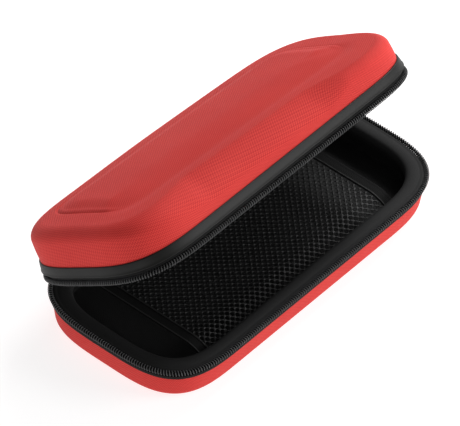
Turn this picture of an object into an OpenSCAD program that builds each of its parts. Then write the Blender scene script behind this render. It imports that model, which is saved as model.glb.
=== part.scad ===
// Hard-shell zip carrying case with a hinged lid and a mesh pocket in the base.
// Millimetres. +Z is up, +X runs along the case, and -Y is the side that opens.
// The origin is the centre of the face that the case stands on.

/* [Case] */
// Length of the case over its red walls
case_l = 220; // [180:1:260]
// Width of the case over its red walls
case_w = 106; // [90:1:130]
// Reach of each rounded corner along both sides
corner_reach = 51; // [40:1:52]
// Squareness of the corners: 2 is a circle, more is squarer
squareness = 3.4; // [2:0.1:4]
// Foam wall of the base and the lid
wall_t = 4; // [3:0.5:5]
// Fabric of the outer cover
cover_t = 0.8; // [0.6:0.1:1]
// Lining of the cavities
lining_t = 0.7; // [0.5:0.1:0.9]

/* [Base] */
// Height of the zip's closing plane above the ground
base_h = 23; // [20:0.5:35]
// Radius of the base's lower edge
base_edge_r = 7; // [6:0.5:9]
// Inward lean of the base's walls
base_draft = 1.6; // [0:0.1:2]
// Height of the black band between the base's cover and its zip
base_band_h = 3.6; // [3:0.1:5]

/* [Lid] */
// Height of the lid above the zip's closing plane, at its crown
lid_h = 29; // [26:0.5:34]
// Radius of the lid's shoulder
lid_edge_r = 6.5; // [6.5:0.5:9]
// Inward lean of the lid's walls
lid_draft = 0.6; // [0:0.1:2]
// Fall of the lid's top from the crown to its two ends
crown_x = 1; // [0:0.5:3]
// Fall of the lid's top from the crown to its front and back
crown_y = 2.5; // [0:0.5:3]
// Rise of the lid's top from the middle to its left end, and its fall to the right end
lid_slope = 3.8; // [0:0.2:4]
// Size of the raised panel as a share of the lid's top
panel_share = 0.86; // [0.6:0.01:0.9]
// Height of the raised panel's edge
panel_step = 1.1; // [0.5:0.1:2]
// Height of the black band between the lid's cover and its zip
lid_band_h = 7.8; // [4:0.1:9]

/* [Zip] */
// Diameter of each half of the zip's coil
coil_d = 2.5; // [2:0.1:3]
// Width of the tape that covers the rim
rim_w = 8.8; // [8:0.1:12]
// Thickness of the tape
tape_t = 0.7; // [0.5:0.1:0.9]
// Distance of each end of the zip from the middle of the back
zip_end_x = 58; // [50:1:60]
// Length of a slider's body
slider_l = 9; // [8:0.5:12]
// Length of a pull tab
pull_l = 17; // [14:0.5:18]

/* [Hinge] */
// Opening angle of the lid as it stands
open_deg = 34.5; // [10:0.5:60]
// Distance of the hinge line behind the back wall
hinge_back = 4.5; // [4:0.1:6]
// Thickness of each hinge fabric
hinge_t = 0.9; // [0.6:0.1:1.2]

/* [Mesh pocket] */
// Length of the mesh along the case
mesh_l = 144; // [100:1:150]
// Offset of the mesh from the middle
mesh_x = -2; // [-4:1:4]
// Width of the elastic hem at each open end
hem_w = 6; // [4:0.5:8]
// Thickness of the mesh
mesh_t = 0.8; // [0.6:0.1:1]
// Depth of the mesh below the closing plane
mesh_drop = 3.4; // [3:0.2:6]
// Fall of the mesh at its two sewn sides
mesh_side_drop = 5.5; // [3:0.5:6]

/* [Hidden] */

red = [0.78, 0.20, 0.24];
black = [0.09, 0.09, 0.10];
grey = [0.20, 0.20, 0.21];
foam = [0.28, 0.28, 0.30];
metal = [0.35, 0.35, 0.37];

// Gap that keeps glued layers apart
skin = 0.05;
// Points on each quarter of the outline
quarter = 13;
// Steps of the lower edge and the shoulder
edge_steps = 4;
// Height of the tape's face below the closing plane
tape_drop = 1.1;
// Top of the foam rim below the closing plane
rim_drop = tape_drop + tape_t + skin;
// Top of the lining below the closing plane
lining_drop = 7;
coil_r = coil_d / 2;
coil_in = -0.6;
coil_drop = coil_r + 0.15;
// Lower end of each black band, from the closing plane
band_start = 2.75;
band_out = 0.6;
hinge_y = case_w / 2 + hinge_back;
// Length of the stop at each end of the zip, and the slider parked beside it
stop_l = 3;
slider_x = zip_end_x + stop_l + 0.3 + slider_l / 2;
// Tape that sews the mesh to the wall
seam_t = 0.9;
seam_h = 3.6;

// --- Outline and lofts ---

// Shares of the corner's reach at step j of a quarter
function corner_share(j) = let (a = 90 * j / (quarter - 1))
    [pow(max(cos(a), 0), 2 / squareness), pow(max(sin(a), 0), 2 / squareness)];

// Point of the outline pulled in by a distance; the list runs anticlockwise from +X
function outline_point(inset, quad, j) =
    let (r = corner_reach - inset)
    let (s = corner_share((quad % 2 == 0) ? j : quarter - 1 - j))
    let (x = case_l / 2 - inset - r + r * s[0])
    let (y = case_w / 2 - inset - r + r * s[1])
    [(quad == 0 || quad == 3) ? x : -x, quad < 2 ? y : -y];

function outline(inset) =
    [for (quad = [0:3]) for (j = [0:quarter - 1]) outline_point(inset, quad, j)];

// Fall of the lid's top at a point
function crown_fall(p) = let (u = 2 * p[0] / case_l, v = 2 * p[1] / case_w)
    crown_x * u * u + crown_y * v * v + lid_slope * u;

// One ring of a loft: [inset, height, share of the top's fall, scale towards the middle]
function ring(s) =
    [for (p = outline(s[0])) let (q = p * s[3]) [q[0], q[1], s[1] - s[2] * crown_fall(q)]];

// Triangles between ring a and ring b of n points
function band_faces(a, b, n, closed = true) =
    [for (i = [0:n - (closed ? 1 : 2)]) let (j = (i + 1) % n)
        each [[a * n + i, b * n + j, a * n + j], [a * n + i, b * n + i, b * n + j]]];

// Solid between the rings of a section that starts and ends in the middle
module bowl(section) {
    n = 4 * quarter;
    m = len(section);
    rings = [for (s = section) each ring(s)];
    first = section[0];
    last = section[m - 1];
    tips = [[0, 0, first[1]], [0, 0, last[1]]];
    start_fan = [for (i = [0:n - 1]) [i, (i + 1) % n, m * n]];
    end_fan = [for (i = [0:n - 1]) [(m - 1) * n + (i + 1) % n, (m - 1) * n + i, m * n + 1]];
    sides = [for (k = [0:m - 2]) each band_faces(k, k + 1, n)];
    polyhedron(concat(rings, tips), concat(start_fan, sides, end_fan), convexity = 6);
}

// Closed hoop with a section of [inset, height] corners
module hoop(section) {
    n = 4 * quarter;
    m = len(section);
    rings = [for (s = section) each ring([s[0], s[1], 0, 1])];
    polyhedron(rings, [for (k = [0:m - 1]) each band_faces(k, (k + 1) % m, n)], convexity = 6);
}

// Hoop with the hinge's stretch of the back left open
module open_hoop(section, half_gap) {
    difference() {
        hoop(section);
        translate([-half_gap, 0, -case_l])
            cube([2 * half_gap, case_w, 2 * case_l]);
    }
}

// Places the lid's own frame, where the closing plane is at zero height
module in_lid_place() {
    translate([0, hinge_y, base_h])
        rotate([-open_deg, 0, 0])
            translate([0, -hinge_y, 0])
                children();
}

// --- Sections ---

// Lean of the walls per millimetre away from the closing plane
base_lean = base_draft / (base_h - base_edge_r);
lid_lean = lid_draft / (lid_h - panel_step - lid_edge_r);
// Height up to which the lid's walls are the same all round, where its cover starts
level_wall = band_start + lid_band_h + skin;

// Base surface at a depth below the outer cover, from the middle of the floor to a height
function base_side(depth, top) = concat(
    [for (k = [edge_steps:-1:0]) let (a = 90 * k / edge_steps, r = base_edge_r - depth)
        [base_draft + base_edge_r - r * cos(a), base_edge_r - r * sin(a), 0, 1]],
    [[depth + base_lean * (base_h - top), top, 0, 1]]);

// Rings of the lid's top at a depth below the outer cover, from the middle outwards
function lid_top(depth) = let (i = lid_draft + lid_edge_r, z = lid_h - depth)
    [[i, z, 1, 0.08], [i, z, 1, 0.45], [i, z, 1, panel_share - 0.015],
     [i, z - panel_step, 1, panel_share + 0.015]];

// Lid surface at a depth below the outer cover, from the middle of the top to a height
function lid_side(depth, bottom) = concat(lid_top(depth),
    [for (k = [edge_steps:-1:0]) let (a = 90 * k / edge_steps, r = lid_edge_r - depth)
        [lid_draft + lid_edge_r - r * cos(a), lid_h - panel_step - lid_edge_r + r * sin(a), 1, 1]],
    [for (z = (bottom < level_wall - 1) ? [level_wall, bottom] : [bottom])
        [depth + lid_lean * z, z, 0, 1]]);

function backwards(list) = [for (i = [len(list) - 1:-1:0]) list[i]];

// Layer between two depths, open at the top (base) or at the bottom (lid)
module base_layer(outer, inner, top) {
    bowl(concat(base_side(outer, top), backwards(base_side(inner, top))));
}
module lid_layer(outer, inner, bottom) {
    mirror([0, 0, 1])
        bowl([for (s = concat(lid_side(outer, bottom), backwards(lid_side(inner, bottom))))
            [s[0], -s[1], -s[2], s[3]]]);
}

// --- Layers shared by the base and the lid ---

shell_outer = cover_t + skin;
shell_inner = cover_t + wall_t;
lining_outer = shell_inner + skin;
lining_inner = lining_outer + lining_t;

// Rim parts are drawn below the closing plane; the lid's are their mirror image
module rim_pad_shape(lean) {
    low = lining_drop - skin;
    hoop([[lining_outer + lean * low, -low], [lining_outer + lean * rim_drop, -rim_drop],
        [rim_w, -rim_drop], [rim_w, -low]]);
}
module zip_tape_shape() {
    open_hoop([
        [coil_in + coil_r + skin, -tape_drop], [coil_in + coil_r + skin, -tape_drop - tape_t],
        [rim_w + skin, -tape_drop - tape_t], [rim_w + skin, -lining_drop + skin],
        [rim_w + skin + tape_t, -lining_drop + skin], [rim_w + skin + tape_t, -tape_drop]
    ], zip_end_x);
}
module zip_coil_shape(half_gap) {
    open_hoop([for (a = [22.5:45:359]) [coil_in + coil_r * cos(a), -coil_drop + coil_r * sin(a)]],
        half_gap);
}
module binding_shape(height) {
    hoop([[0, -band_start - height], [-band_out, -band_start],
        [cover_t - skin, -band_start], [cover_t - skin, -band_start - height]]);
}

// --- Base ---

module base_cover() {
    color(red)
        base_layer(0, cover_t, base_h - band_start - base_band_h - skin);
}
module base_shell() {
    color(foam)
        base_layer(shell_outer, shell_inner, base_h - rim_drop - skin);
}
module base_lining() {
    color(black)
        base_layer(lining_outer, lining_inner, base_h - lining_drop);
}
module base_rim_pad() {
    color(foam)
        translate([0, 0, base_h])
            rim_pad_shape(base_lean);
}
module base_binding() {
    color(grey)
        translate([0, 0, base_h])
            binding_shape(base_band_h);
}
module base_zip_tape() {
    color(black)
        translate([0, 0, base_h])
            zip_tape_shape();
}
module base_zip_coil() {
    color(grey)
        translate([0, 0, base_h])
            zip_coil_shape(zip_end_x + stop_l + skin);
}

// --- Lid, in its own frame with the closing plane at zero height ---

module lid_cover() {
    color(red)
        in_lid_place()
            lid_layer(0, cover_t, level_wall);
}
module lid_shell() {
    color(foam)
        in_lid_place()
            lid_layer(shell_outer, shell_inner, rim_drop + skin);
}
module lid_lining() {
    color(black)
        in_lid_place()
            lid_layer(lining_outer, lining_inner, lining_drop);
}
module lid_rim_pad() {
    color(foam)
        in_lid_place()
            mirror([0, 0, 1])
                rim_pad_shape(lid_lean);
}
module lid_binding() {
    color(grey)
        in_lid_place()
            mirror([0, 0, 1])
                binding_shape(lid_band_h);
}
module lid_zip_tape() {
    color(black)
        in_lid_place()
            mirror([0, 0, 1])
                zip_tape_shape();
}
module lid_zip_coil() {
    color(grey)
        in_lid_place()
            mirror([0, 0, 1])
                zip_coil_shape(slider_x + slider_l / 2 + 1.5);
}

// --- Mesh pocket, open at both short ends ---

mesh_side_y = case_w / 2 - lining_inner - base_draft - 1.5;
// Half width of the flat middle of the mesh
mesh_flat_y = 30;
mesh_steps = 7;

// Height of the mesh below the closing plane at a distance from the middle
function mesh_fall(y) = let (t = max(0, (abs(y) - mesh_flat_y) / (mesh_side_y - mesh_flat_y)))
    mesh_drop + mesh_side_drop * (1 - cos(90 * min(t, 1)));

// Slice of the pocket's cross-section, extruded along the case
module mesh_slice(x0, length, thickness) {
    half = [for (k = [0:mesh_steps]) mesh_flat_y + (mesh_side_y - mesh_flat_y) * k / mesh_steps];
    ys = concat(backwards(-half), half);
    top = [for (y = ys) [y, base_h - mesh_fall(y) + (thickness - mesh_t) / 2]];
    low = [for (i = [len(ys) - 1:-1:0]) [ys[i], top[i][1] - thickness]];
    translate([x0, 0, 0])
        rotate([90, 0, 90])
            linear_extrude(height = length)
                polygon(concat(top, low));
}
module mesh_panel() {
    color(black)
        mesh_slice(mesh_x - mesh_l / 2, mesh_l, mesh_t);
}
module hem_left() {
    color(grey)
        mesh_slice(mesh_x - mesh_l / 2 - hem_w - skin, hem_w, 2 * mesh_t);
}
module hem_right() {
    color(grey)
        mesh_slice(mesh_x + mesh_l / 2 + skin, hem_w, 2 * mesh_t);
}
// Tape that sews one long side of the mesh to the wall
module mesh_seam(side) {
    z = base_h - mesh_drop - mesh_side_drop;
    y = side * (mesh_side_y + skin + seam_t / 2);
    translate([mesh_x, y, z])
        cube([mesh_l, seam_t, seam_h], center = true);
}
module mesh_seam_front() {
    color(grey)
        mesh_seam(-1);
}
module mesh_seam_back() {
    color(grey)
        mesh_seam(1);
}

// --- Fabric hinge: a fold round the hinge line, with a flap to each rim ---

fold_r = 2.1;
fold_in_r = fold_r - hinge_t;
// Gap between the two hinge fabrics
fold_gap = 0.1;

// Fold of one radius: a flap from the base's rim, an arc behind the hinge line, a flap to the lid's rim
module fold(r, flap) {
    steps = 20;
    half = zip_end_x;
    from_lid = [cos(open_deg), -sin(open_deg)];
    up_lid = [sin(open_deg), cos(open_deg)];
    function arc(r) = [for (k = [0:steps]) let (a = -90 + (180 - open_deg) * k / steps)
        r * [cos(a), sin(a)]];
    function both(r) = concat([[-flap, -r]], arc(r), [-flap * from_lid + r * up_lid]);
    translate([-half, 0, 0])
        rotate([90, 0, 90])
            linear_extrude(height = 2 * half)
                polygon(concat(both(r), backwards(both(r - hinge_t))));
}
module hinge_strip() {
    color(grey)
        translate([0, hinge_y, base_h])
            fold(fold_r, hinge_back + band_out);
}
module hinge_lining() {
    color(black)
        translate([0, hinge_y, base_h])
            fold(fold_in_r - fold_gap, hinge_back + rim_w);
}

// --- Zip ends, sliders and pulls; side is 1 on +X and -1 on -X ---

module on_zip(side, x) {
    translate([side * x, case_w / 2, base_h])
        mirror([side > 0 ? 0 : 1, 0, 0])
            children();
}
module zip_stop(side) {
    on_zip(side, zip_end_x)
        translate([0, -coil_in - coil_r, -coil_drop - coil_r])
            cube([stop_l, coil_d, coil_d]);
}
module zip_stop_left() {
    color(metal)
        zip_stop(-1);
}
module zip_stop_right() {
    color(metal)
        zip_stop(1);
}

// Slider, in a frame with +X away from the stop, +Y outwards and +Z up
plate_y = coil_d / 2 - coil_in + 0.2;
plate_t = 1;
plate_half_w = 3.3;
// Lips that the outer plate turns in over and under the coil
lip_t = 0.5;
lip_back = 1.4;
lip_front = 1.2;
upper_lip = 0.45;
lower_lip = 1.1;
// Inner plate in the gap between the two tapes
inner_y = -1.75;
inner_t = 0.8;
inner_half_h = tape_drop - 0.15;
// Nose that joins the two plates
nose_w = 1.8;
nose_front = 0.3;
nose_h = inner_half_h - 0.05;
bite = 0.05;
// Stud that the pull turns on, with its cap
stud_r = 1.1;
stud_h = 2.5;
cap_r = 2;
cap_t = 0.6;
pull_t = 1.2;
pull_gap = 0.3;
pull_play = 0.12;

// Outline of the slider's outer plate, with its corners cut off
module slider_plate() {
    l = slider_l / 2;
    w = plate_half_w;
    side = [[-l, w - 0.9], [-l + lip_back, w - 0.1], [l - lip_front, w], [l, w - 0.7]];
    polygon(concat([for (p = side) [p[0], -p[1]]], backwards(side)));
}
module slider() {
    lip_x = -slider_l / 2 + lip_back;
    lip_l = slider_l - lip_back - lip_front;
    translate([0, plate_y + plate_t, 0])
        rotate([90, 0, 0])
            linear_extrude(height = plate_t)
                slider_plate();
    translate([lip_x, plate_y - upper_lip, plate_half_w - lip_t - 0.1])
        cube([lip_l, upper_lip + bite, lip_t]);
    translate([lip_x, plate_y - lower_lip, -plate_half_w + 0.1])
        cube([lip_l, lower_lip + bite, lip_t - 0.1]);
    translate([-slider_l / 2, inner_y, -inner_half_h])
        cube([slider_l, inner_t, 2 * inner_half_h]);
    translate([slider_l / 2 - nose_front - nose_w, inner_y + inner_t - bite, 0])
        cube([nose_w, plate_y - inner_y - inner_t + 2 * bite, nose_h]);
    translate([0, plate_y + plate_t - bite, 0])
        rotate([-90, 0, 0]) {
            cylinder(h = stud_h + bite, r = stud_r, $fn = 48);
            translate([0, 0, stud_h + bite - cap_t])
                cylinder(h = cap_t, r = cap_r, $fn = 48);
        }
}
module slider_left() {
    color(metal)
        on_zip(-1, slider_x)
            slider();
}
module slider_right() {
    color(metal)
        on_zip(1, slider_x)
            slider();
}

// Pull tab hanging from the stud
module pull() {
    head_r = 3.2;
    tab_w = 7;
    tab_r = 1.6;
    neck_w = 4;
    shoulder = 5;
    window_w = 3;
    window_l = 5;
    window_edge = 3.2;
    translate([0, plate_y + plate_t + pull_gap + pull_t, 0])
        rotate([90, 0, 0])
            difference() {
                linear_extrude(height = pull_t) {
                    circle(r = head_r, $fn = 48);
                    translate([-neck_w / 2, -pull_l / 2])
                        square([neck_w, pull_l / 2]);
                    for (side = [-1, 1])
                        translate([side * (tab_w / 2 - tab_r), -pull_l + tab_r])
                            circle(r = tab_r, $fn = 32);
                    translate([-tab_w / 2 + tab_r, -pull_l])
                        square([tab_w - 2 * tab_r, 2 * tab_r]);
                    translate([-tab_w / 2, -pull_l + tab_r])
                        square([tab_w, pull_l - tab_r - shoulder]);
                }
                translate([0, 0, -1])
                    cylinder(h = pull_t + 2, r = stud_r + pull_play, $fn = 48);
                translate([-window_w / 2, -pull_l + window_edge, -1])
                    cube([window_w, window_l, pull_t + 2]);
            }
}
module pull_left() {
    color(metal)
        on_zip(-1, slider_x)
            pull();
}
module pull_right() {
    color(metal)
        on_zip(1, slider_x)
            pull();
}

base_shell();
base_cover();
base_lining();
base_rim_pad();
base_binding();
base_zip_tape();
base_zip_coil();
mesh_panel();
hem_left();
hem_right();
mesh_seam_front();
mesh_seam_back();
lid_shell();
lid_cover();
lid_lining();
lid_rim_pad();
lid_binding();
lid_zip_tape();
lid_zip_coil();
hinge_strip();
hinge_lining();
zip_stop_left();
zip_stop_right();
slider_left();
slider_right();
pull_left();
pull_right();
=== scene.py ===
"""Looks of the hard-shell zip carrying case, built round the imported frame. Shapes are in mm up to make()."""

import math

import bmesh
import bpy
import numpy as np
from mathutils import Matrix, Vector


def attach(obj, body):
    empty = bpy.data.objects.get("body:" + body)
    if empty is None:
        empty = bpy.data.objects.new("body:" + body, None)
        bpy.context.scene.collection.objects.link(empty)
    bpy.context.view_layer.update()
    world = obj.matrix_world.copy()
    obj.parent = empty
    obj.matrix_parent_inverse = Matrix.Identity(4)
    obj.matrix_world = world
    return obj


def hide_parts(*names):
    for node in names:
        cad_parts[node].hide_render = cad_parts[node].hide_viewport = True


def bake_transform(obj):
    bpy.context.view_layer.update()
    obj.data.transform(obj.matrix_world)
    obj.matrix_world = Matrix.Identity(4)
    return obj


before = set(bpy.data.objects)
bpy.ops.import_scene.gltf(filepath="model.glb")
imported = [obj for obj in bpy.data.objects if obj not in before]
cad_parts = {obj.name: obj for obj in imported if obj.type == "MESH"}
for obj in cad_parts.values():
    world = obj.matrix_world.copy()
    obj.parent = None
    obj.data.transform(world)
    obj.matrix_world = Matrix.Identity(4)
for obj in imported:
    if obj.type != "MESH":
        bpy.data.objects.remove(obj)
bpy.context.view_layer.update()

# ---------------------------------------------------------------- sizes, in mm

CASE_L, CASE_W = 220.0, 106.0
REACH, SQUARE = 51.0, 3.4
BASE_H, BASE_EDGE, BASE_DRAFT = 23.0, 6.2, 1.4
LID_H, LID_EDGE, LID_DRAFT, STEP, SLOPE = 29.4, 6.5, 0.6, 1.1, 3.7
BASE_BAND, LID_BAND, BAND_START = 3.6, 7.8, 2.75
COVER_T, LINING_OUT = 0.8, 4.85
RIM_W, LINING_DROP = 8.8, 7.0
COIL_IN, COIL_DROP, PITCH = -0.6, 1.62, 1.5
ZIP_END, STOP_L, SLIDER_X, SLIDER_L = 58.0, 3.0, 65.8, 9.0
HINGE_Y, OPEN = 57.5, math.radians(34.5)
MESH_L, MESH_X, HEM_W = 144.0, -2.0, 6.0
MESH_FLAT, MESH_SIDE, MESH_DROP, MESH_FALL = 30.0, 44.35, 3.4, 5.5

BASE_LEAN = BASE_DRAFT / (BASE_H - BASE_EDGE)
LID_LEAN = LID_DRAFT / (LID_H - STEP - LID_EDGE)

# ---------------------------------------------------------------- camera

CAM_AZ, CAM_EL, CAM_ROLL = map(math.radians, (-50.873, 44.435, 2.172))
CAM_FAR, CAM_LEFT, CAM_RISE, CAM_LENS, CAM_SENSOR = 2.806, 0.0058, 0.0080, 416.7, 36
aim_at = Vector((0, 0, 0.023))
back = Vector((
    math.sin(CAM_AZ) * math.cos(CAM_EL),
    -math.cos(CAM_AZ) * math.cos(CAM_EL),
    math.sin(CAM_EL),
))
side = Vector((math.cos(CAM_AZ), math.sin(CAM_AZ), 0))
up = back.cross(side)
cam_x = side * math.cos(CAM_ROLL) + up * math.sin(CAM_ROLL)
cam_y = up * math.cos(CAM_ROLL) - side * math.sin(CAM_ROLL)
cam_at = aim_at + back * CAM_FAR - cam_x * CAM_LEFT + cam_y * CAM_RISE
camera = bpy.data.objects.new("camera", bpy.data.cameras.new("camera"))
bpy.context.scene.collection.objects.link(camera)
camera.data.lens = CAM_LENS
camera.data.sensor_width = CAM_SENSOR
camera.matrix_world = Matrix(
    [(cam_x[i], cam_y[i], back[i], cam_at[i]) for i in range(3)] + [(0, 0, 0, 1)]
)
bpy.context.scene.camera = camera

# ---------------------------------------------------------------- outline

def _outline_weights(count):
    """Weights (ax, bx, ay, by) of points spaced evenly round the case from the middle of the back, and its
    girth. A point is (ax * A + bx * r, ay * B + by * r), with r the corners' reach less the inset."""
    run = np.linspace(0, 1, 200)[:-1]
    a = np.linspace(0, math.pi / 2, 3001)[:-1]
    rise, fall = np.sin(a) ** (2 / SQUARE), np.cos(a) ** (2 / SQUARE)
    one, turn = np.ones_like(run), np.ones_like(a)
    none = 0 * one
    parts = [
        (-run, none, one, one),
        (-turn, -rise, turn, fall),
        (-one, -one, 1 - 2 * run, none),
        (-turn, -fall, -turn, -rise),
        (-1 + 2 * run, none, -one, -one),
        (turn, rise, -turn, -fall),
        (one, one, -1 + 2 * run, none),
        (turn, fall, turn, rise),
        (1 - run, none, one, one),
    ]
    w = np.array([np.concatenate([p[k] for p in parts]) for k in range(4)]).T
    p = _place(w, 0)
    gaps = np.linalg.norm(np.diff(np.vstack([p, p[:1]]), axis=0), axis=1)
    s = np.concatenate([[0], np.cumsum(gaps)])
    wrapped = np.vstack([w, w[:1]])
    want = np.arange(count) * s[-1] / count
    return np.array([np.interp(want, s, wrapped[:, k]) for k in range(4)]).T, s[-1]


def _place(w, inset):
    a, b, r = CASE_L / 2 - REACH, CASE_W / 2 - REACH, REACH - inset
    return np.stack([w[:, 0] * a + w[:, 1] * r, w[:, 2] * b + w[:, 3] * r], axis=1)


N = 480  # points round the outline
W, ROUND = _outline_weights(N)
ARC = np.arange(N) * ROUND / N
W_FINE, _ = _outline_weights(4 * N)


def outline(inset, w=None):
    """Points round the case, moved in from its walls by the inset."""
    return _place(W if w is None else w, inset)


def top_fall(p):
    """Fall of the lid's top below its middle: a shallow crown, and a slope from the left end to the right."""
    x, y = p[:, 0] / 110, p[:, 1] / 53
    crown = x ** 2 + np.where(y > 0, 2.5, 1.6) * y ** 2
    front_right = 2.4 * np.clip(x, 0, 1) ** 2 * np.clip(y, -1, 0)
    return crown + SLOPE * x + front_right


def smooth(t):
    t = np.clip(t, 0, 1)
    return t * t * (3 - 2 * t)


# ---------------------------------------------------------------- mesh making

def lid_place(p):
    """Points of the lid's own frame (closing plane at height 0) in the row frame."""
    p = np.asarray(p, float)
    c, s = math.cos(OPEN), math.sin(OPEN)
    y, h = p[:, 1] - HINGE_Y, p[:, 2]
    return np.stack([p[:, 0], HINGE_Y + y * c + h * s, BASE_H - y * s + h * c], axis=1)


def base_place(p):
    """Points of the base with depths below the closing plane, in the row frame."""
    return np.asarray(p) * np.array([1, 1, -1]) + np.array([0, 0, BASE_H])


def make(name, points, faces, body, material, replaces=(), uv=None):
    """A mesh piece from points in mm in the row frame; uv is one (u, v) in metres for each face corner."""
    mesh = bpy.data.meshes.new(name)
    mesh.from_pydata((np.asarray(points) * 0.001).tolist(), [], faces)
    if uv is not None:
        layer = mesh.uv_layers.new(name="weave")
        layer.data.foreach_set("uv", np.asarray(uv, np.float32).ravel())
    mesh.polygons.foreach_set("use_smooth", [True] * len(mesh.polygons))
    mesh.materials.append(material)
    mesh.update()
    piece = bpy.data.objects.new(name, mesh)
    bpy.context.scene.collection.objects.link(piece)
    if body:
        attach(piece, body)
    for node in replaces:
        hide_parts(node)
    return piece


def loft(rings, closed_round=True, closed_section=False, tips=False, arc=None, flip=False):
    """Points, faces and corner uv of a loft. rings is a list of (n, 3) arrays in order along the section.
    closed_section joins the last ring to the first; tips closes the first and last ring with a fan."""
    n, m = len(rings[0]), len(rings)
    points = np.vstack(rings)
    arc = ARC[:n] if arc is None else arc
    step = arc[1] - arc[0]
    u_end = np.append(arc, arc[-1] + step)
    gaps = [np.linalg.norm(rings[(k + 1) % m] - rings[k], axis=1).mean() for k in range(m)]
    along = np.concatenate([[0], np.cumsum(gaps[:-1])])
    faces, uv = [], []
    spans = m if closed_section else m - 1
    for k in range(spans):
        k2 = (k + 1) % m
        v1, v2 = along[k], along[k] + gaps[k]
        for i in range(n if closed_round else n - 1):
            j = (i + 1) % n
            quad = (k * n + i, k * n + j, k2 * n + j, k2 * n + i)
            corner = ((u_end[i], v1), (u_end[i + 1], v1), (u_end[i + 1], v2), (u_end[i], v2))
            if flip:
                quad, corner = quad[::-1], corner[::-1]
            faces.append(quad)
            uv.extend(corner)
    if not closed_round and closed_section:
        first, last = tuple(k * n for k in range(m)), tuple(k * n + n - 1 for k in reversed(range(m)))
        for cap in (first, last):
            cap = cap if not flip else cap[::-1]
            faces.append(cap)
            uv.extend((points[v][0], points[v][2]) for v in cap)
    if tips:
        for k, order in ((0, 1), (m - 1, -1)):
            ring = points[k * n:(k + 1) * n]
            middle = len(points)
            points = np.vstack([points, ring.mean(axis=0)[None]])
            for i in range(n):
                tri = (k * n + (i + 1) % n, k * n + i, middle)[::order]
                if flip:
                    tri = tri[::-1]
                faces.append(tri)
                uv.extend((points[v][0], points[v][1]) for v in tri)
    return points, faces, np.array(uv) * 0.001


def ring_at(inset, height, w=None):
    """The outline at an inset, as a level ring."""
    p = outline(inset, w)
    return np.column_stack([p, np.full(len(p), float(height))])


def hoop(section, place, w=None, closed_round=True, arc=None, flip=False):
    """Closed section of [inset, height] corners carried round the outline."""
    rings = [place(ring_at(i, h, w)) for i, h in section]
    return loft(rings, closed_round, True, arc=arc, flip=flip)


def rounded(section, radius, steps=3):
    """A closed section with its corners rounded by a quadratic curve."""
    done, n = [], len(section)
    pts = [np.array(p, float) for p in section]
    for k in range(n):
        a, b, c = pts[k - 1], pts[k], pts[(k + 1) % n]
        r = min(radius, np.linalg.norm(a - b) * 0.45, np.linalg.norm(c - b) * 0.45)
        p, q = b + (a - b) / np.linalg.norm(a - b) * r, b + (c - b) / np.linalg.norm(c - b) * r
        for t in np.linspace(0, 1, steps + 1):
            done.append(tuple((1 - t) ** 2 * p + 2 * t * (1 - t) * b + t * t * q))
    return done


# ---------------------------------------------------------------- materials

class Graph:
    """Short names for building one material's nodes."""

    def __init__(self, name):
        self.material = bpy.data.materials.new(name)
        self.material.use_nodes = True
        self.tree = self.material.node_tree
        self.tree.nodes.clear()
        self.shader = self.add("ShaderNodeBsdfPrincipled")
        out = self.add("ShaderNodeOutputMaterial")
        self.join(self.shader.outputs[0], out.inputs[0])

    def add(self, kind, **values):
        node = self.tree.nodes.new(kind)
        for key, value in values.items():
            setattr(node, key, value)
        return node

    def join(self, a, b):
        self.tree.links.new(a, b)

    def feed(self, socket, value):
        if hasattr(value, "is_linked"):
            self.join(value, socket)
        else:
            socket.default_value = value

    def math(self, operation, a, b=0.0, c=0.0):
        node = self.add("ShaderNodeMath", operation=operation)
        for socket, value in zip(node.inputs, (a, b, c)):
            self.feed(socket, value)
        return node.outputs[0]

    def object(self):
        return self.add("ShaderNodeTexCoord").outputs["Object"]

    def uv(self):
        return self.add("ShaderNodeUVMap", uv_map="weave").outputs[0]

    def turned(self, vector, angle):
        node = self.add("ShaderNodeMapping")
        self.join(vector, node.inputs["Vector"])
        node.inputs["Rotation"].default_value = (0, 0, angle)
        return node.outputs[0]

    def noise(self, vector, scale, detail=2.0, roughness=0.5):
        node = self.add("ShaderNodeTexNoise")
        self.join(vector, node.inputs["Vector"])
        node.inputs["Scale"].default_value = scale
        node.inputs["Detail"].default_value = detail
        node.inputs["Roughness"].default_value = roughness
        return node.outputs["Fac"]

    def ribs(self, vector, pitch, axis):
        """0 to 1 ribs across one axis of a vector in metres."""
        split = self.add("ShaderNodeSeparateXYZ")
        self.join(vector, split.inputs[0])
        wave = self.math("SINE", self.math("MULTIPLY", split.outputs[axis], 2 * math.pi / pitch))
        return self.math("MULTIPLY_ADD", wave, 0.5, 0.5)

    def between(self, factor, low, high, a, b):
        """Colour from a to b as factor goes from low to high."""
        ramp = self.add("ShaderNodeMapRange", clamp=True)
        self.feed(ramp.inputs["Value"], factor)
        ramp.inputs["From Min"].default_value = low
        ramp.inputs["From Max"].default_value = high
        mix = self.add("ShaderNodeMix", data_type="RGBA")
        self.join(ramp.outputs[0], mix.inputs[0])
        for socket, colour in ((mix.inputs[6], a), (mix.inputs[7], b)):
            socket.default_value = (*colour, 1)
        return mix.outputs[2]

    def bump(self, height, distance, strength):
        node = self.add("ShaderNodeBump")
        self.join(height, node.inputs["Height"])
        node.inputs["Distance"].default_value = distance
        node.inputs["Strength"].default_value = strength
        return node.outputs[0]

    def finish(self, colour, roughness, normal, **constants):
        """Joins the colour, roughness and normal to the shader, and sets its other inputs by name."""
        self.join(colour, self.shader.inputs["Base Color"])
        self.feed(self.shader.inputs["Roughness"], roughness)
        if normal is not None:
            self.join(normal, self.shader.inputs["Normal"])
        for key, value in constants.items():
            self.shader.inputs[key.replace("_", " ")].default_value = value
        return self.material


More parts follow.
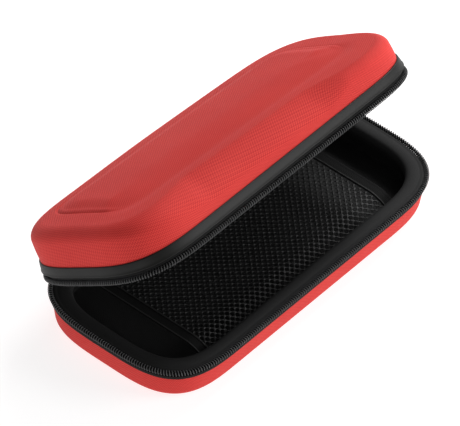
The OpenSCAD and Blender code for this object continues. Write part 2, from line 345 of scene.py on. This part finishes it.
def woven(name, dark, light, pitch, angle, depth, rough, mottle, **constants):
    """Cloth of two crossing sets of threads, with thread-level and broad colour variation."""
    g = Graph(name)
    flat, space = g.turned(g.uv(), angle), g.object()
    warp, weft = g.ribs(flat, pitch, 0), g.ribs(flat, pitch, 1)
    slow_x, slow_y = g.ribs(flat, pitch * 2, 0), g.ribs(flat, pitch * 2, 1)
    over = g.math("MULTIPLY", g.math("SUBTRACT", slow_x, 0.5), g.math("SUBTRACT", slow_y, 0.5))
    over = g.math("MULTIPLY_ADD", over, 2.0, 0.5)
    threads = g.math("ADD", g.math("MULTIPLY", warp, over),
                     g.math("MULTIPLY", weft, g.math("SUBTRACT", 1.0, over)))
    fuzz = g.noise(space, 2600, 3, 0.6)
    broad = g.noise(space, 28, 3, 0.55)
    tone = g.math("ADD", g.math("MULTIPLY", threads, 1 - mottle), g.math("MULTIPLY", broad, mottle))
    tone = g.math("ADD", tone, g.math("MULTIPLY", g.math("SUBTRACT", fuzz, 0.5), 0.3))
    colour = g.between(tone, 0.1, 0.9, dark, light)
    height = g.math("ADD", threads, g.math("MULTIPLY", fuzz, 0.35))
    roughness = g.math("MULTIPLY_ADD", fuzz, rough[1] - rough[0], rough[0])
    return g.finish(colour, roughness, g.bump(height, depth, 0.8), **constants)


def metal(name, dark, light):
    g = Graph(name)
    space = g.object()
    stain, grain = g.noise(space, 190, 4, 0.6), g.noise(space, 1700, 3, 0.6)
    colour = g.between(stain, 0.3, 0.7, dark, light)
    roughness = g.math("MULTIPLY_ADD", grain, 0.25, 0.22)
    return g.finish(colour, roughness, g.bump(grain, 0.00002, 0.5), Metallic=0.9)


def foam(name, dark, light):
    g = Graph(name)
    space = g.object()
    cells = g.add("ShaderNodeTexVoronoi")
    g.join(space, cells.inputs["Vector"])
    cells.inputs["Scale"].default_value = 1500
    colour = g.between(g.noise(space, 60, 3), 0.3, 0.7, dark, light)
    return g.finish(colour, 0.9, g.bump(cells.outputs[0], 0.0001, 0.6))


def nylon(name, dark, light, rough, **constants):
    g = Graph(name)
    space = g.object()
    colour = g.between(g.noise(space, 300, 3), 0.3, 0.7, dark, light)
    grain = g.noise(space, 3000, 2)
    roughness = g.math("MULTIPLY_ADD", grain, 0.2, rough)
    return g.finish(colour, roughness, g.bump(grain, 0.00002, 0.4), **constants)


RED = woven("red_weave", (0.46, 0.014, 0.016), (0.75, 0.064, 0.051), 0.00095, math.radians(38),
            0.00011, (0.6, 0.85), 0.3, Sheen_Weight=0.01, Sheen_Roughness=0.5, Specular_IOR_Level=0.18)
LID_BAND_CLOTH = woven("band_satin", (0.0038, 0.0038, 0.0033), (0.0075, 0.0074, 0.0065), 0.00045, 0.0,
                       0.00003, (0.46, 0.56), 0.3, Specular_IOR_Level=0.24)
# The base's band is the lid's satin, made darker and duller: painted shade for its upright side, which catches
# less light than the lid's tilted band.
BASE_BAND_SHADED_SATIN = woven("band_satin_painted_shade", (0.0012, 0.0013, 0.0011), (0.0030, 0.0031, 0.0027), 0.00045, 0.0,
                        0.00003, (0.6, 0.75), 0.3, Specular_IOR_Level=0.15)
TAPE = woven("tape_weave", (0.0036, 0.0036, 0.0037), (0.0078, 0.0078, 0.0080), 0.0006, math.radians(45),
             0.00005, (0.65, 0.85), 0.3, Specular_IOR_Level=0.3)
LINING = woven("lining_knit", (0.014, 0.014, 0.014), (0.026, 0.026, 0.0263), 0.0008, 0.3,
               0.00008, (0.85, 0.97), 0.4, Specular_IOR_Level=0.25)
ELASTIC = woven("elastic_rib", (0.0015, 0.0015, 0.0015), (0.003, 0.003, 0.003), 0.0009, 0.0,
                0.00012, (0.75, 0.92), 0.2, Specular_IOR_Level=0.18)
PIPING = woven("piping_cord", (0.006, 0.006, 0.006), (0.012, 0.012, 0.012), 0.0007, math.radians(30),
               0.0001, (0.5, 0.7), 0.2)
HINGE = woven("hinge_rib", (0.012, 0.012, 0.012), (0.030, 0.030, 0.030), 0.0010, 0.0,
              0.00012, (0.55, 0.75), 0.2)
FOAM = foam("eva_cells", (0.020, 0.020, 0.021), (0.035, 0.035, 0.037))
COIL = nylon("coil_nylon", (0.045, 0.045, 0.046), (0.085, 0.085, 0.087), 0.34, Specular_IOR_Level=0.34)
# The cord inside the coil is a real part, but it is made near-black and matte, far darker than the nylon:
# painted shade for the gaps between the coil's turns.
CORE_PAINTED_SHADE = nylon("coil_core", (0.001, 0.001, 0.001), (0.002, 0.002, 0.002), 0.8, Specular_IOR_Level=0.1)
NET = nylon("net_nylon", (0.004, 0.004, 0.004), (0.008, 0.008, 0.0082), 0.34, Specular_IOR_Level=0.34)
METAL = metal("dark_plated_metal", (0.10, 0.10, 0.105), (0.19, 0.19, 0.20))

# ---------------------------------------------------------------- base shells

FLOOR_SHARES = (0.05, 0.15, 0.3, 0.45, 0.6, 0.72, 0.82, 0.9, 0.96)
FLOOR_HOLLOW, BASE_BELLY = 0.3, 0.18


def base_rings(depth, top):
    """Rings from the middle of the floor to the top of the wall, heights from the ground."""
    relief = depth < 1  # deeper faces are plain
    r = max(BASE_EDGE - depth, 0.5)
    rings = []
    for share in FLOOR_SHARES:
        p = outline(depth + BASE_DRAFT + r) * share
        rise = FLOOR_HOLLOW * (1 - smooth((share - 0.72) / 0.24))
        rings.append(np.column_stack([p, np.full(N, depth + rise * relief)]))
    for a in np.linspace(math.pi / 2, 0, 11):
        rings.append(ring_at(depth + BASE_DRAFT + r - r * math.cos(a), depth + r - r * math.sin(a)))
    for t in np.linspace(0, 1, 9)[1:]:
        z = depth + r + (top - depth - r) * t
        belly = BASE_BELLY * math.sin(math.pi * t) if relief else 0
        rings.append(ring_at(depth + BASE_LEAN * (BASE_H - z) - belly, z))
    return rings


def with_lip(outer, inner, lip):
    """The outer rings with two more over the edge, which bulges by lip."""
    middle = (outer[-1] + inner[-1]) / 2 + np.array([0, 0, lip])
    return [*outer, outer[-1] * 0.35 + middle * 0.65, middle]


def base_layer(name, depth, thick, top, material, node, lip=0.0):
    """One closed layer of the base, from its depth under the cover's outside."""
    outer, inner = base_rings(depth, top), base_rings(depth + thick, top)
    if lip:
        outer = with_lip(outer, inner, lip)
    points, faces, uv = loft(outer + inner[::-1], tips=True)
    return make(name, points, faces, "base", material, [node], uv)


base_top = BASE_H - BAND_START - BASE_BAND
base_layer("base_cover_skin", 0, COVER_T, base_top - 0.1, RED, "base_cover", 0.3)
base_foam = base_layer("base_foam_shell", COVER_T + 0.05, 3.95, BASE_H - 1.9, FOAM, "base_shell")
base_layer("base_lining_skin", LINING_OUT, 0.7, BASE_H - LINING_DROP, LINING, "base_lining", 0.2)

# ---------------------------------------------------------------- lid shells

PANEL_X, PANEL_Y, PANEL_REACH = (-88.7, 92.0), (-26.0, 38.5), 25.0
PANEL_SINK, PANEL_RISE, INNER_SINK = 0.9, 2.1, 1.3
CREASE_W, LIP, LIP_AT, LIP_W = 0.8, 0.3, 2.3, 1.1
VALLEY, VALLEY_W, LID_BELLY = 0.75, 6.0, 0.15
LEVEL_WALL = BAND_START + LID_BAND + 0.05  # below this height the lid's wall is the same all round
LEDGE_SHARES = (0.015, 0.04, 0.07, 0.11, 0.16, 0.22, 0.3, 0.4, 0.5, 0.6, 0.7, 0.8, 0.9, 0.96)


def panel_edge():
    """The raised panel's edge: a rounded rectangle sampled at the same shares as the outline."""
    middle = np.array([sum(PANEL_X) / 2, sum(PANEL_Y) / 2])
    half = np.array([PANEL_X[1] - PANEL_X[0], PANEL_Y[1] - PANEL_Y[0]]) / 2 - PANEL_REACH
    return middle + np.stack([W[:, 0] * half[0] + W[:, 1] * PANEL_REACH,
                              W[:, 2] * half[1] + W[:, 3] * PANEL_REACH], axis=1)


def lid_rings(depth, bottom):
    """Rings from the middle of the lid's top to the bottom of its wall, in the lid's frame."""
    relief = depth < 1  # deeper faces are plain
    panel = panel_edge()
    # 1 where the panel's edge is a sharp crease, 0 along the front where it is a soft valley
    sharp = smooth((panel[:, 1] + 23) / 13)
    front = (1 - sharp) * smooth((86 - np.abs(panel[:, 0] + 6)) / 40)
    left = smooth(-panel[:, 0] / 80)
    # the shoulder is wide and soft along the front, tighter round the rest
    wide = LID_EDGE - 1.0 + 2.5 * left + 10.0 * front
    tall = LID_EDGE - 1.0 + 2.0 * left + 6.0 * front
    cut = 0.12 + 0.4 * sharp * smooth((-60 - panel[:, 0]) / 20)

    def crease(away):
        return cut * np.exp(-((away / CREASE_W) ** 2)) * sharp

    def valley(away):
        return VALLEY * np.exp(-((away / VALLEY_W) ** 2)) * (1 - sharp)

    rings = []
    # the panel shrinks to its own middle line, so its rings end in a short seam and not in a point
    core = np.stack([np.clip(panel[:, 0], -55, 58), np.full(N, 6.25)], axis=1)
    slope_w = 12.0 + 13.0 * (1 - sharp)
    inward = np.linalg.norm(panel - core, axis=1)
    shares = list(np.linspace(0.0, 0.5, 7)) + list(1 - 0.5 * np.linspace(1, 0, 23)[1:] ** 1.3)
    for share in shares:
        p = core + (panel - core) * share
        away = inward * (1 - share)
        # the panel rises from its crease in a smooth slope, a longer one along the front
        rise = PANEL_RISE * smooth(away / slope_w)
        lip = LIP * np.exp(-(((away - LIP_AT) / LIP_W) ** 2)) * sharp
        fine = (rise - PANEL_SINK - crease(away) + lip - valley(away)) if relief else rise - INNER_SINK
        rings.append(np.column_stack([p, LID_H - top_fall(p) + fine - depth]))
    # the ledge, from the panel's edge out to the shoulder
    shoulder = outline(LID_DRAFT + wide)
    reach = np.linalg.norm(shoulder - panel, axis=1)
    for share in LEDGE_SHARES:
        p = panel + (shoulder - panel) * share
        away = reach * share
        ledge = PANEL_SINK + (STEP - PANEL_SINK) * smooth(share)
        if relief:
            fine = -ledge - crease(away) - valley(away) * (1 - smooth(share))
        else:
            fine = -INNER_SINK + (INNER_SINK - STEP) * share
        rings.append(np.column_stack([p, LID_H - top_fall(p) + fine - depth]))
    # the shoulder, a quarter turn that is flatter along the front
    bow = 1 + 0.45 * front
    for a in np.linspace(math.pi / 2, 0, 15):
        across, lift = max(math.cos(a), 0) ** bow, math.sin(a) ** bow
        p = outline(LID_DRAFT + wide - (wide - depth) * across)
        rings.append(np.column_stack([p, LID_H - STEP - tall + (tall - depth) * lift - top_fall(p)]))
    # the wall, down to where it is level all round, and on down for the layers under the cover
    wall, level = rings[-1], ring_at(depth + LID_LEAN * LEVEL_WALL, LEVEL_WALL)
    for t in np.linspace(0, 1, 8)[1:]:
        belly = LID_BELLY * math.sin(math.pi * t) if relief else 0
        rings.append(wall + (level - wall) * t + _outward() * belly)
    if bottom < LEVEL_WALL - 1:
        rings.append(ring_at(depth + LID_LEAN * bottom, bottom))
    return rings


def _outward():
    """Unit steps away from the middle, square to the outline."""
    step = outline(-1) - outline(0)
    return np.column_stack([step, np.zeros(N)])


def weld(piece, gap=1e-6, outward=False):
    """Joins points that lie on each other, and turns the faces outwards if asked."""
    bm = bmesh.new()
    bm.from_mesh(piece.data)
    bmesh.ops.remove_doubles(bm, verts=bm.verts, dist=gap)
    if outward:
        bmesh.ops.recalc_face_normals(bm, faces=bm.faces)
    bm.to_mesh(piece.data)
    bm.free()
    return piece


def planar_top(faces, uv, count, points):
    """Gives the first count four-sided faces a weave laid flat over the top, as moulded cloth has."""
    uv[:count * 4] = np.array([points[v][:2] for f in faces[:count] for v in f]) * 0.001


TOP_RINGS = 44  # the rings of the panel and the ledge, whose weave lies flat


def lid_layer(name, depth, thick, bottom, material, node, lip=0.0):
    """One closed layer of the lid, from its depth under the cover's outside."""
    outer, inner = lid_rings(depth, bottom), lid_rings(depth + thick, bottom)
    if lip:
        outer = with_lip(outer, inner, -lip)
    points, faces, uv = loft(outer + inner[::-1], flip=True)
    planar_top(faces, uv, N * TOP_RINGS, points)
    return weld(make(name, lid_place(points), faces, "lid", material, [node], uv))


lid_layer("lid_cover_skin", 0, COVER_T, LEVEL_WALL, RED, "lid_cover", 0.3)
lid_foam = lid_layer("lid_foam_shell", COVER_T + 0.1, 3.9, 1.95, FOAM, "lid_shell")
lid_layer("lid_lining_skin", LINING_OUT, 0.7, LINING_DROP, LINING, "lid_lining", 0.2)

# ---------------------------------------------------------------- rims, bands and tapes

def both_rims(name, section, cloths, part, gap=None):
    """One hoop on each rim, the base's in the first cloth. Heights are distances from the closing plane.
    gap is half the length left open across the hinge. The part is the end of the names of the nodes that each
    hoop replaces."""
    made = []
    for body, place, flip, material in (("base", base_place, False, cloths[0]),
                                        ("lid", lid_place, True, cloths[1])):
        w, arc, closed = W, ARC, True
        if gap is not None:
            p = outline(0)
            keep = ~((p[:, 1] > 0) & (np.abs(p[:, 0]) < gap))
            start, end = _end_weights(gap)
            w = np.vstack([start, W[keep], end])
            arc = np.concatenate([[ARC[keep][0] - 1], ARC[keep], [ARC[keep][-1] + 1]])
            closed = False
        points, faces, uv = hoop(section(body), place, w, closed, arc, flip)
        made.append(make(body + "_" + name, points, faces, body, material, [body + "_" + part], uv))
    return made


def _end_weights(gap):
    """Outline weights of the two points on the back wall at -gap and gap."""
    a = CASE_L / 2 - REACH
    return np.array([[-gap / a, 0, 1, 1]]), np.array([[gap / a, 0, 1, 1]])


def pad_section(body):
    """Foam roll under the rim, between the shell's lining and the cavity."""
    lean = BASE_LEAN if body == "base" else LID_LEAN
    low = LINING_DROP - 0.1
    return rounded([(LINING_OUT + lean * low, low), (LINING_OUT + lean * 1.9, 1.9),
                    (RIM_W - 0.05, 1.9), (RIM_W - 0.05, low)], 0.8)


def band_section(body):
    """Satin band with a flared, turned edge towards the zip, standing clear of the tape's black edge."""
    height, gap, flare = (BASE_BAND, 1.0, 0.25) if body == "base" else (LID_BAND, 2.4, 0.8)
    low, start = BAND_START + height, BAND_START + gap
    outer = [(0.3, start + 0.1), (0.0, start - 0.1), (-0.45 - flare, start - 0.12),
             (-0.68 - flare, start + 0.12), (-0.7 - flare, start + 0.4), (-0.52 - flare, start + 0.65)]
    for t in np.linspace(0.3, 0.94, 6):
        bulge = 0.42 + 0.2 * math.sin(math.pi * t) + flare * (1 - t) ** 1.3
        outer.append((-bulge, start + (low - start) * t))
    return outer + [(-0.38, low - 0.12), (-0.12, low + 0.05), (0.3, low + 0.02), (0.72, low - 0.1),
                    (0.72, start + 0.2)]


def tape_section(_body):
    """Zip tape: from under the coil over the padded rim, then turned down into the cavity."""
    outer = [(0.72, 5.2), (0.35, 5.2), (0.28, 2.6), (0.35, 1.75), (0.85, 1.3), (1.4, 1.14), (2.2, 1.12),
             (2.55, 1.2), (2.9, 1.08), (3.8, 0.86), (5.0, 0.74), (6.4, 0.78), (7.6, 0.95), (8.6, 1.3),
             (9.2, 1.85), (9.52, 2.7), (9.5, 4.6), (9.35, 6.9)]
    inner = [(8.85, 6.9), (8.88, 3.0), (8.5, 2.1), (7.4, 1.85), (5, 1.8), (3, 1.85), (1.4, 1.85), (0.85, 2.1)]
    return outer + inner


both_rims("band", band_section, (BASE_BAND_SHADED_SATIN, LID_BAND_CLOTH), "binding")
pads = both_rims("rim_roll", pad_section, (FOAM, FOAM), "rim_pad")
both_rims("tape", tape_section, (TAPE, TAPE), "zip_tape", ZIP_END)

# ---------------------------------------------------------------- zip coils

PER_TURN = 12
WIRE_R, CORE_R, COIL_FLAT, COIL_TALL, HINGE_SQUASH = 0.25, 0.82, 1.2, 1.28, 0.2


def coil(gap):
    """Centrelines of a filament wound along the rim, flatter towards the hinge, and of its core, with the
    outward directions. gap is half the length left open across the hinge."""
    p = outline(COIL_IN, W_FINE)
    keep = np.nonzero(~((p[:, 1] > 0) & (np.abs(p[:, 0]) < gap)))[0]
    path = p[keep[0]:keep[-1] + 1]
    tangent = np.gradient(path, axis=0)
    tangent /= np.linalg.norm(tangent, axis=1)[:, None]
    outward = np.column_stack([tangent[:, 1], -tangent[:, 0]])
    if (outward * path).sum() < 0:
        outward = -outward
    s = np.concatenate([[0], np.cumsum(np.linalg.norm(np.diff(path, axis=0), axis=1))])
    want = np.linspace(0.3, s[-1] - 0.3, int(s[-1] / PITCH) * PER_TURN + 1)
    line = np.column_stack([np.interp(want, s, path[:, k]) for k in range(2)])
    out = np.column_stack([np.interp(want, s, outward[:, k]) for k in range(2)])
    phase = 2 * math.pi * want / PITCH
    squash = HINGE_SQUASH * smooth((line[:, 1] - 10) / 30)
    drop, tall = COIL_DROP - squash, COIL_TALL - squash
    side_way = COIL_FLAT * np.sign(np.cos(phase)) * np.abs(np.cos(phase)) ** 0.8
    centre = np.column_stack([line + out * side_way[:, None], drop + tall * np.sin(phase)])
    return centre, np.column_stack([line, drop]), out


def skin(centre, a, b, radius, sides):
    """Points and faces of a closed tube, from its centreline and two directions square to it."""
    n = len(centre)
    angle = np.arange(sides) * 2 * math.pi / sides
    points = (centre[:, None] + radius * (a[:, None] * np.cos(angle)[None, :, None]
                                          + b[:, None] * np.sin(angle)[None, :, None])).reshape(-1, 3)
    faces = []
    for i in range(n - 1):
        for k in range(sides):
            j = (k + 1) % sides
            faces.append((i * sides + k, i * sides + j, (i + 1) * sides + j, (i + 1) * sides + k))
    faces.append(tuple(reversed(range(sides))))
    faces.append(tuple((n - 1) * sides + k for k in range(sides)))
    return points, faces


def directions(centre):
    t = np.gradient(centre, axis=0)
    return t / np.linalg.norm(t, axis=1)[:, None]


def tube(centre, radius, sides):
    """Tube along a smooth centreline that nowhere runs straight up."""
    t = directions(centre)
    a = np.cross(t, [0, 0, 1.0])
    a /= np.linalg.norm(a, axis=1)[:, None]
    return skin(centre, a, np.cross(t, a), radius, sides)


def helix(centre, out, radius, sides):
    """Tube along a coil, with a frame that turns with it so that the wire never twists."""
    t = directions(centre)
    along = np.cross(np.column_stack([out, np.zeros(len(out))]), [0, 0, 1.0])
    a = along - t * (along * t).sum(axis=1)[:, None]
    a /= np.linalg.norm(a, axis=1)[:, None]
    return skin(centre, a, np.cross(t, a), radius, sides)


for body, place, gap in (("base", base_place, ZIP_END + STOP_L + 0.1),
                         ("lid", lid_place, SLIDER_X + SLIDER_L / 2 + 1.6)):
    centre, middle, out = coil(gap)
    wound, core = helix(centre, out, WIRE_R, 6), tube(middle[::6], CORE_R, 10)
    for name, (points, faces), material in (("coil_teeth", wound, COIL), ("coil_core", core, CORE_PAINTED_SHADE)):
        if body == "lid":
            faces = [f[::-1] for f in faces]
        make(body + "_" + name, place(points), faces, body, material, [body + "_zip_coil"])

# ---------------------------------------------------------------- mesh pocket

def mesh_height(y):
    """Height of the net across the base: flat in the middle, falling to its seams."""
    t = np.clip((np.abs(y) - MESH_FLAT) / (MESH_SIDE - MESH_FLAT), 0, 1)
    return BASE_H - MESH_DROP - MESH_FALL * (1 - np.cos(t * math.pi / 2))


y_dense = np.linspace(-MESH_SIDE, MESH_SIDE, 2001)
z_dense = mesh_height(y_dense)
s_dense = np.concatenate([[0], np.cumsum(np.hypot(np.diff(y_dense), np.diff(z_dense)))])
NET_FLAT = s_dense[-1]
NET_LEFT, NET_RIGHT = MESH_X - MESH_L / 2, MESH_X + MESH_L / 2


def on_net(x, s, lift):
    """Point of the net's sheet: x along the case, s across it from the front seam, lift off the sheet."""
    y, z = np.interp(s, s_dense, y_dense), np.interp(s, s_dense, z_dense)
    e = 0.4
    dy = np.interp(s + e, s_dense, y_dense) - np.interp(s - e, s_dense, y_dense)
    dz = np.interp(s + e, s_dense, z_dense) - np.interp(s - e, s_dense, z_dense)
    long = np.hypot(dy, dz)
    return np.stack([x, y - dz / long * lift, z + dy / long * lift], axis=-1)


ROWS = 44
CELL_X, CELL_S, NET_T = 4.0, NET_FLAT / ROWS, 0.5
centres = []
for row in range(1, ROWS):
    shift = 0.5 if row % 2 else 0.0
    for col in range(int(MESH_L / CELL_X) + 1):
        x = NET_LEFT + (col + shift) * CELL_X
        if NET_LEFT + 1 < x < NET_RIGHT - 1:
            centres.append((x, row * CELL_S))
centres = np.array(centres)
# corners of one diamond cell with its edges' midpoints, then a rounded six-sided hole inside it
cell = np.array([(1, 0), (0.5, 0.5), (0, 1), (-0.5, 0.5), (-1, 0), (-0.5, -0.5), (0, -1), (0.5, -0.5)])
cell = cell * np.array([CELL_X / 2, CELL_S])
hole = np.array([(1.0, 0.0), (0.6, 0.75), (0, 0.92), (-0.6, 0.75), (-1.0, 0), (-0.6, -0.75), (0, -0.92),
                 (0.6, -0.75)]) * np.array([1.28, 1.22])
thread = cell * 0.45 + hole * 0.62
loops = [(cell, 0.5), (thread, 0.42), (hole, 0.0), (thread, -0.42), (cell, -0.5)]
net_points, net_faces, per = [], [], 8 * len(loops)
for loop, lift in loops:
    xy = centres[:, None, :] + loop[None]
    net_points.append(on_net(xy[..., 0], np.clip(xy[..., 1], 0, NET_FLAT), lift * NET_T))
net_points = np.stack(net_points, axis=1).reshape(-1, 3)
for c in range(len(centres)):
    for k in range(len(loops) - 1):
        for i in range(8):
            j, at = (i + 1) % 8, c * per + k * 8
            net_faces.append((at + i, at + j, at + 8 + j, at + 8 + i))
net = make("mesh_net", net_points, net_faces, None, NET, ["mesh_panel"])
weld(net, 0.00002, outward=True)
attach(net, "base")


# (share of the width, lift off the net)
HEM_SECTION = [(0.0, -0.2), (0.0, 0.25), (0.03, 0.42), (0.09, 0.48), (0.15, 0.42), (0.2, 0.34), (0.35, 0.36),
               (0.5, 0.37), (0.65, 0.36), (0.8, 0.34), (0.85, 0.42), (0.91, 0.48), (0.97, 0.42), (1.0, 0.25),
               (1.0, -0.2), (0.5, -0.55)]


def hem(name, x0, x1, node):
    """Elastic band over one open end of the pocket, from the front to the back."""
    s = np.linspace(0.0, NET_FLAT, 73)
    rings = [on_net(np.full(len(s), x0 + (x1 - x0) * share), s, lift) for share, lift in HEM_SECTION]
    points, faces, uv = loft(rings, False, True, arc=s)
    return make(name, points, faces, "base", ELASTIC, [node], uv)


def piping(name, x):
    """Thin rounded cord sewn along one edge of a hem."""
    s = np.linspace(0.6, NET_FLAT - 0.6, 120)
    line = on_net(np.full(len(s), x), s, 0.62)
    points, faces = tube(line, 0.34, 8)
    return make(name, points, faces, "base", PIPING)


hems = [
    hem("hem_left_elastic", NET_LEFT + 0.8, NET_LEFT - HEM_W, "hem_left"),
    hem("hem_right_elastic", NET_RIGHT - 0.8, NET_RIGHT + HEM_W, "hem_right"),
    piping("hem_cord_left_inner", NET_LEFT + 0.3),
    piping("hem_cord_left_outer", NET_LEFT - HEM_W + 0.5),
    piping("hem_cord_right_inner", NET_RIGHT - 0.3),
]


def seam_strip(name, side_sign, node):
    """Folded tape that sews one long side of the net to the wall."""
    z = BASE_H - MESH_DROP - MESH_FALL
    y = side_sign * (MESH_SIDE + 0.5)
    x = np.linspace(NET_LEFT - HEM_W, NET_RIGHT + HEM_W, 121)
    section = rounded([(-0.45, -1.8), (0.45, -1.8), (0.45, 1.8), (-0.45, 1.8)], 0.4)
    rings = [np.column_stack([x, np.full(len(x), y + side_sign * a), z + b + 0.08 * np.sin(x * 1.05)])
             for a, b in section]
    points, faces, uv = loft(rings, False, True, arc=x, flip=side_sign > 0)
    return make(name, points, faces, "base", TAPE, [node], uv)


seams = [seam_strip("net_seam_front", -1, "mesh_seam_front"), seam_strip("net_seam_back", 1, "mesh_seam_back")]

# ---------------------------------------------------------------- hinge fabrics

def fold(name, r, thick, flap, material, node):
    """Fabric from the base's rim, round the hinge line at radius r, to the lid's rim."""
    end = 180 - math.degrees(OPEN) - 90
    from_lid = np.array([math.cos(OPEN), -math.sin(OPEN)])
    normal = np.array([math.sin(OPEN), math.cos(OPEN)])

    def side_of(radius):
        line = [(-flap * (1 - t), -radius) for t in np.linspace(0, 1, 12)[:-1]]
        line += [(radius * math.cos(math.radians(a)), radius * math.sin(math.radians(a)))
                 for a in np.linspace(-90, end, 28)]
        line += [tuple(-flap * t * from_lid + radius * normal) for t in np.linspace(0, 1, 12)[1:]]
        return line

    x = np.linspace(-ZIP_END, ZIP_END, 59)
    section = side_of(r) + side_of(r - thick)[::-1]
    rings = [np.column_stack([x, np.full(len(x), HINGE_Y + y), np.full(len(x), BASE_H + z)])
             for y, z in section]
    points, faces, uv = loft(rings, False, True, arc=x, flip=True)
    piece = make(name, points, faces, None, material, [node], uv)
    weld(piece, outward=True)
    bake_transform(piece)


fold("hinge_outer_fabric", 2.1, 0.9, 5.1, HINGE, "hinge_strip")
fold("hinge_inner_fabric", 1.1, 0.9, 13.3, TAPE, "hinge_lining")

# ---------------------------------------------------------------- metal parts

def clamp(name, x_sign, node):
    """End stop: a small metal clamp bent round the coil, with its edges rounded and two pressed ribs."""
    x = np.array([0, 0.12, 0.35, 0.8, 1.0, 1.2, 1.5, 1.8, 2.0, 2.2, 2.65, 2.88, 3.0]) + ZIP_END
    swell = np.array([-0.3, -0.12, 0, 0, -0.1, 0, 0, 0, -0.1, 0, 0, -0.12, -0.3])
    y0, sides = CASE_W / 2 - COIL_IN, 20
    a = np.arange(sides) * 2 * math.pi / sides + 0.01
    round_y, round_z = (np.sign(c) * np.abs(c) ** 0.6 for c in (np.cos(a), np.sin(a)))
    rings = []
    for along, grow in zip(x, swell):
        half = 1.25 + grow
        rings.append(np.column_stack([np.full(sides, x_sign * along), y0 + round_y * half,
                                      BASE_H - COIL_DROP + round_z * half]))
    points, faces, _ = loft(rings, tips=True, arc=np.arange(float(sides)))
    piece = make(name, points, faces, None, METAL, [node])
    weld(piece, outward=True)
    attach(piece, "base")


clamp("zip_clamp_left", -1, "zip_stop_left")
clamp("zip_clamp_right", 1, "zip_stop_right")

for name in ("slider_left", "slider_right", "pull_left", "pull_right"):
    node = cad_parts[name]
    node.data.materials.clear()
    node.data.materials.append(METAL)
    edge = node.modifiers.new("edges", "BEVEL")
    edge.width = 0.00018
    edge.segments = 2
    edge.limit_method = "ANGLE"
    edge.angle_limit = math.radians(40)

# ---------------------------------------------------------------- floor and light

def pale_floor(grey, glow):
    """Nearly even grey that also gives off a little light, so that it comes out close to white."""
    g = Graph("pale_floor")
    tint = g.between(g.noise(g.object(), 3, 2), 0.3, 0.7, (grey,) * 3, (grey * 0.99,) * 3)
    return g.finish(tint, 0.9, None, Emission_Color=(1, 1, 1, 1), Emission_Strength=glow)


FLOOR_HALF, FLOOR_Z = 6, -0.0003
floor_mesh = bpy.data.meshes.new("floor")
floor_corners = [(x * FLOOR_HALF, y * FLOOR_HALF, FLOOR_Z) for x, y in ((-1, -1), (1, -1), (1, 1), (-1, 1))]
floor_mesh.from_pydata(floor_corners, [], [(0, 1, 2, 3)])
floor_mesh.materials.append(pale_floor(0.42, 0.8))
floor = bpy.data.objects.new("floor", floor_mesh)
bpy.context.scene.collection.objects.link(floor)


def lamp(name, at, towards, size, watts):
    data = bpy.data.lights.new(name, "AREA")
    data.shape = "RECTANGLE"
    data.size, data.size_y = size
    data.energy = watts
    lamp_object = bpy.data.objects.new(name, data)
    bpy.context.scene.collection.objects.link(lamp_object)
    lamp_object.location = at
    aim = Vector(towards) - Vector(at)
    lamp_object.rotation_mode = "QUATERNION"
    lamp_object.rotation_quaternion = aim.to_track_quat("-Z", "Y")


lamp("key", (1.1, -1.5, 0.75), (0, 0, 0.03), (1.0, 0.8), 25)
lamp("top", (1.45, 0.35, 1.3), (0, 0, 0.03), (1.0, 1.0), 32)
lamp("left", (-1.6, -0.55, 0.3), (0, 0, 0.04), (0.8, 0.6), 5.5)

world = bpy.data.worlds.new("studio")
world.use_nodes = True
world.node_tree.nodes["Background"].inputs[0].default_value = (1, 1, 1, 1)
world.node_tree.nodes["Background"].inputs[1].default_value = 0.24
bpy.context.scene.world = world
bpy.context.scene.view_settings.view_transform = "Standard"
